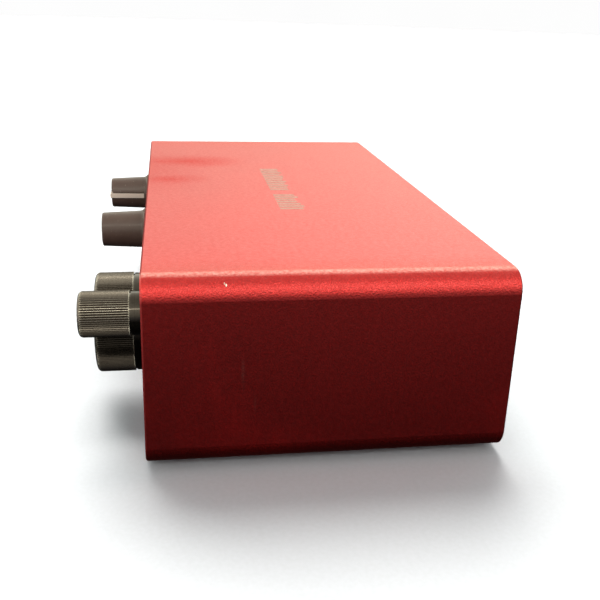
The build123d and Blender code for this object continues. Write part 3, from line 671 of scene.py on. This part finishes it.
def headphones(x, z, size):
    """A pictogram: a bow and two ear pads."""
    bow = strip(arc(x, z, size, -100, 100), 0.14 * size)
    pads = []
    for side in (-1, 1):
        pads.append(box_outline(x + side * 0.86 * size, z - 0.42 * size, 0.42 * size, 0.8 * size))
    return [bow, *pads]


def wave(x, z, width, height, line):
    """A pictogram of an alternating signal."""
    steps = 24
    points = [
        (x + width * (k / steps - 0.5), z + height / 2 * math.sin(2 * math.pi * k / steps))
        for k in range(steps + 1)
    ]
    return [strip(points, line)]


def loudspeaker(x, z, size, side):
    """A pictogram: a magnet, a cone and two sound lines, facing the given side."""
    cone = [(0.0, 0.22), (0.45, 0.6), (0.45, -0.6), (0.0, -0.22)]
    cone = [(x + side * size * a, z + size * b) for a, b in cone]
    magnet = box_outline(x - side * 0.2 * size, z, 0.3 * size, 0.44 * size)
    turn = (60, 120) if side > 0 else (-60, -120)
    lines = [strip(arc(x + side * 0.2 * size, z, r * size, *turn, 10), 0.12 * size) for r in (0.65, 0.95)]
    return [cone, magnet, *lines]


def padlock(x, z, size):
    shackle = strip(arc(x, z + 0.25 * size, 0.34 * size, -90, 90, 14), 0.13 * size)
    return [box_outline(x, z - 0.2 * size, size, 0.8 * size), shackle]


def plug(x, z, size):
    """A pictogram of a data plug: its cord, its body, and a shell with two windows."""
    cord = box_outline(x, z - 0.78 * size, 0.18 * size, 0.56 * size)
    body = box_outline(x, z - 0.15 * size, 1.0 * size, 0.7 * size)
    bars = [box_outline(x + k * 0.30 * size, z + 0.42 * size, 0.14 * size, 0.44 * size) for k in (-1, 0, 1)]
    return [cord, body, *bars, box_outline(x, z + 0.71 * size, 0.74 * size, 0.14 * size)]


def ink_piece(name, data, ink):
    """A printed piece on the case, from its mesh."""
    piece = new_object(name, data, ink)
    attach(piece, "case")


def printed(name, outlines, place, ink):
    """Thin solid ink from flat outlines; place turns (x, z) and a height into a point."""
    mesh = bmesh.new()
    for outline in outlines:
        low = [mesh.verts.new(place(a, b, 0.0)) for a, b in outline]
        high = [mesh.verts.new(place(a, b, INK_THICKNESS)) for a, b in outline]
        mesh.faces.new(low[::-1])
        mesh.faces.new(high)
        for k in range(len(outline)):
            after = (k + 1) % len(outline)
            mesh.faces.new((low[k], low[after], high[after], high[k]))
    bmesh.ops.recalc_face_normals(mesh, faces=mesh.faces)
    data = bpy.data.meshes.new(name)
    mesh.to_mesh(data)
    mesh.free()
    ink_piece(name, data, ink)


def figure_mesh(text, height):
    """The mesh of a number of that height, lying flat around the origin."""
    curve = bpy.data.curves.new("figure", "FONT")
    curve.body = text
    curve.size = height * MM / FIGURE_SHARE
    curve.align_x = "CENTER"
    curve.align_y = "CENTER"
    curve.extrude = INK_THICKNESS * MM / 2
    curve.resolution_u = 6
    carrier = bpy.data.objects.new("figure", curve)
    bpy.context.scene.collection.objects.link(carrier)
    bpy.context.view_layer.update()
    data = bpy.data.meshes.new_from_object(carrier)
    bpy.data.objects.remove(carrier)
    return data


def numerals(name, entries, turn, ink):
    """Numbers, as (text, x, z, height); turn places a flat one on its face."""
    joined = bmesh.new()
    for text, x, z, height in entries:
        data = figure_mesh(text, height)
        data.transform(turn(x, z))
        joined.from_mesh(data)
    mesh = bpy.data.meshes.new(name)
    joined.to_mesh(mesh)
    joined.free()
    ink_piece(name, mesh, ink)


def middle(node):
    """The (x, z) of a node's middle, in mm."""
    low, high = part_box(node)
    return ((low.x + high.x) / 2 / MM, (low.z + high.z) / 2 / MM)


def front_outlines(gains, monitor):
    """The front's dials, symbols and lines."""
    outlines = []
    for axis in gains:
        outlines += dial(*axis, *GAIN_DIAL)
    outlines += dial(*monitor, *MONITOR_DIAL)
    outlines += dial(*middle("phones_knob_core"), *PHONES_DIAL)
    x, z = middle("phones_jack_ferrule")
    above, size = JACK_SYMBOL
    outlines += headphones(x, z + above, size)
    right, apart, width = SWITCH_MARK
    for n in "12":
        x, z = middle(f"input_{n}_switch")
        outlines += wave(x + right, z + apart, width, WAVE_HEIGHT, LINE)
        outlines += [box_outline(x + right, z - apart, width, LINE)]
        outlines += [strip(arc(*middle(f"combo_insert_{n}"), *INPUT_ARC, 60), LINE)]
    x, z = middle("direct_monitor_switch")
    above, size = MONITORING_SYMBOL
    outlines += headphones(x, z + above, size)
    divider = middle("phantom_button")[0] - DIVIDER_LEFT
    outlines += [strip([(divider, end) for end in DIVIDER_SPAN], DIVIDER_WIDTH)]
    x, z = middle("usb_light")
    right, size = LINK_SYMBOL
    return outlines + plug(x + right, z, size)


def front_words(gains, monitor):
    """The front's numbers: the inputs', each dial's two ends, and the phantom power's voltage."""
    words = []
    for n in "12":
        x, z = middle(f"combo_insert_{n}")
        words.append((n, x, z - INPUT_NUMBER_DROP, INPUT_NUMBER_HEIGHT))
    for axis, reach in ((gains[0], GAIN_NUMBERS), (gains[1], GAIN_NUMBERS), (monitor, MONITOR_NUMBERS)):
        words.append(("0", *around(*axis, reach, -DIAL_SWEEP), DIAL_NUMBER_HEIGHT))
        words.append(("10", *around(*axis, reach, DIAL_SWEEP), DIAL_NUMBER_HEIGHT))
    x, z = middle("phantom_light")
    return words + [("48", x, z - VOLTAGE_DROP, VOLTAGE_HEIGHT)]


def front_legends(ink):
    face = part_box("front_panel")[0].y
    gains = [middle(f"gain_light_ring_{n}") for n in "12"]
    monitor = (middle("monitor_pot")[0], middle("monitor_knob_cap")[1])
    stand = Matrix.Rotation(math.radians(90), 4, "X")

    def place(a, b, height):
        return (a * MM, face - height * MM, b * MM)

    def turn(x, z):
        return Matrix.Translation(place(x, z, INK_THICKNESS / 2)) @ stand

    printed("front_print", front_outlines(gains, monitor), place, ink)
    numerals("front_numbers", front_words(gains, monitor), turn, ink)


def rear_legends(ink):
    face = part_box("rear_panel")[1].y
    outlines = []
    above, size = LINE_OUT_SYMBOL
    for name, side in (("left", 1), ("right", -1)):
        x, z = middle(f"line_out_jack_{name}")
        outlines += loudspeaker(x, z + above, size, side)
    x, z = middle("usb_shell")
    above, size = USB_SYMBOL
    outlines += plug(x, z + above, size)
    x, z = middle("lock_plate")
    above, size = LOCK_SYMBOL
    outlines += padlock(x, z + above, size)
    outlines += [strip(REAR_RULE, REAR_RULE_WIDTH)]

    def place(a, b, height):
        return (a * MM, face + height * MM, b * MM)

    printed("rear_print", outlines, place, ink)


def top_mark(ink):
    """A plain row of level bars in two groups, printed on the top."""
    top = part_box("sleeve")[1].z
    rng = random.Random(7)
    front, back = MARK_Y
    outlines = []
    for start, end, count in MARK_GROUPS:
        pitch = (end - start) / count
        for k in range(count):
            x = start + pitch * (k + 0.5)
            length = (back - front) * (BAR_SHORTEST + (1 - BAR_SHORTEST) * rng.random())
            outlines.append(box_outline(x, front + length / 2, BAR_SHARE * pitch, length))

    def place(a, b, height):
        return (a * MM, b * MM, top + height * MM)

    printed("top_mark", outlines, place, ink)


# ---- floor, light and camera -------------------------------------------------------------------------------
def stage_piece(name, mesh, material):
    """A piece of the set, which isn't part of the object."""
    data = bpy.data.meshes.new(name)
    mesh.to_mesh(data)
    mesh.free()
    piece = new_object(name, data, material)
    return piece


def make_floor():
    """A round white floor; the glossy metal mirrors the sky below it, and not the floor itself."""
    mesh = bmesh.new()
    bmesh.ops.create_circle(mesh, cap_ends=True, segments=96, radius=FLOOR_RADIUS)
    r = Recipe("floor_paper")
    fibre = r.noise(900, 3)
    colour = r.mix(r.span(fibre, 0.3, 0.7), *FLOOR_COLOURS)
    paper = r.finish(colour, 0.9, r.bump(fibre, 0.02 * MM, 0.3), Specular_IOR_Level=0.1)
    floor = stage_piece("floor", mesh, paper)
    floor.visible_glossy = False
    floor.visible_diffuse = False
    return floor


def make_backdrop():
    """A low white wall around the floor that only the camera sees."""
    mesh = bmesh.new()
    wall = bmesh.ops.create_circle(mesh, segments=96, radius=FLOOR_RADIUS)["verts"]
    raised = bmesh.ops.extrude_edge_only(mesh, edges=mesh.edges[:])["geom"]
    for vertex in raised:
        if isinstance(vertex, bmesh.types.BMVert):
            vertex.co.z = BACKDROP_HEIGHT
    for vertex in wall:
        vertex.co.z = -0.01
    r = Recipe("backdrop_paper")
    glow = r.mix(r.noise(3, 2), (0.97, 0.97, 0.97, 1), (1.0, 1.0, 1.0, 1))
    r.feed(r.shader, Emission_Color=glow, Emission_Strength=1.0)
    backdrop = stage_piece("backdrop", mesh, r.finish((0, 0, 0, 1), 1.0, Specular_IOR_Level=0.0))
    backdrop.visible_glossy = False
    backdrop.visible_diffuse = False
    backdrop.visible_shadow = False


def make_sky():
    """A dome in soft bands about +Y, with a brighter patch at the back of its far side, and a white front."""
    world = bpy.data.worlds.new("studio")
    world.use_nodes = True
    bpy.context.scene.world = world
    g = Graph(world.node_tree)
    x, y, z = g.split(g.add("ShaderNodeTexCoord").outputs["Generated"])
    turn = g.span(g.math("ARCTAN2", z, x), -math.pi, math.pi)
    bands = g.ramp(turn, [((angle + 180) / 360, level) for angle, level in SKY_BANDS])
    window = g.math("MULTIPLY", g.span(y, 0.0, 0.35, -0.08, 0.55), g.span(x, -0.6, -0.85))
    light = g.math("ADD", bands, g.math("MULTIPLY", window, g.span(z, 0.02, 0.2)))
    front = g.math("MULTIPLY", g.span(y, -0.35, -0.7), g.span(z, -0.45, -0.1))
    light = g.math("MAXIMUM", light, front)
    warm = g.mix(g.span(z, -0.15, 0.1), (1.0, 1.0, 1.0, 1), SKY_WARM)
    background = g.add("ShaderNodeBackground")
    g.feed(background, Color=warm, Strength=light)
    g.feed(g.add("ShaderNodeOutputWorld"), Surface=background.outputs[0])


def make_key_light(floor):
    """A wide soft light from beyond the far end; it draws the shadow and lights only the floor."""
    data = bpy.data.lights.new("key", "SUN")
    data.energy = KEY_STRENGTH
    data.color = KEY_WARM
    data.angle = math.radians(KEY_WIDTH)
    key = bpy.data.objects.new("key", data)
    key.rotation_euler = Vector(KEY_FROM).to_track_quat("Z", "Y").to_euler()
    key.visible_glossy = False
    bpy.context.scene.collection.objects.link(key)
    lit = bpy.data.collections.new("key_receivers")
    lit.objects.link(floor)
    key.light_linking.receiver_collection = lit


def make_camera():
    data = bpy.data.cameras.new("camera")
    data.lens = CAMERA_LENS
    data.sensor_width = 36
    data.clip_start = 0.01
    camera = bpy.data.objects.new("camera", data)
    yaw = Matrix.Rotation(math.radians(90 + CAMERA_YAW), 4, "Z")
    pitch = Matrix.Rotation(math.radians(90 + CAMERA_PITCH), 4, "X")
    roll = Matrix.Rotation(math.radians(CAMERA_ROLL), 4, "Z")
    camera.matrix_world = Matrix.Translation(CAMERA_PLACE) @ yaw @ pitch @ roll
    bpy.context.scene.collection.objects.link(camera)
    bpy.context.scene.camera = camera


materials = make_materials()
dress_nodes(materials)
make_spring(materials["spring_steel"])
front_legends(materials["panel_ink"])
rear_legends(materials["panel_ink"])
top_mark(materials["mark_ink"])
make_backdrop()
make_sky()
make_key_light(make_floor())
make_camera()
bpy.context.scene.view_settings.view_transform = "Standard"
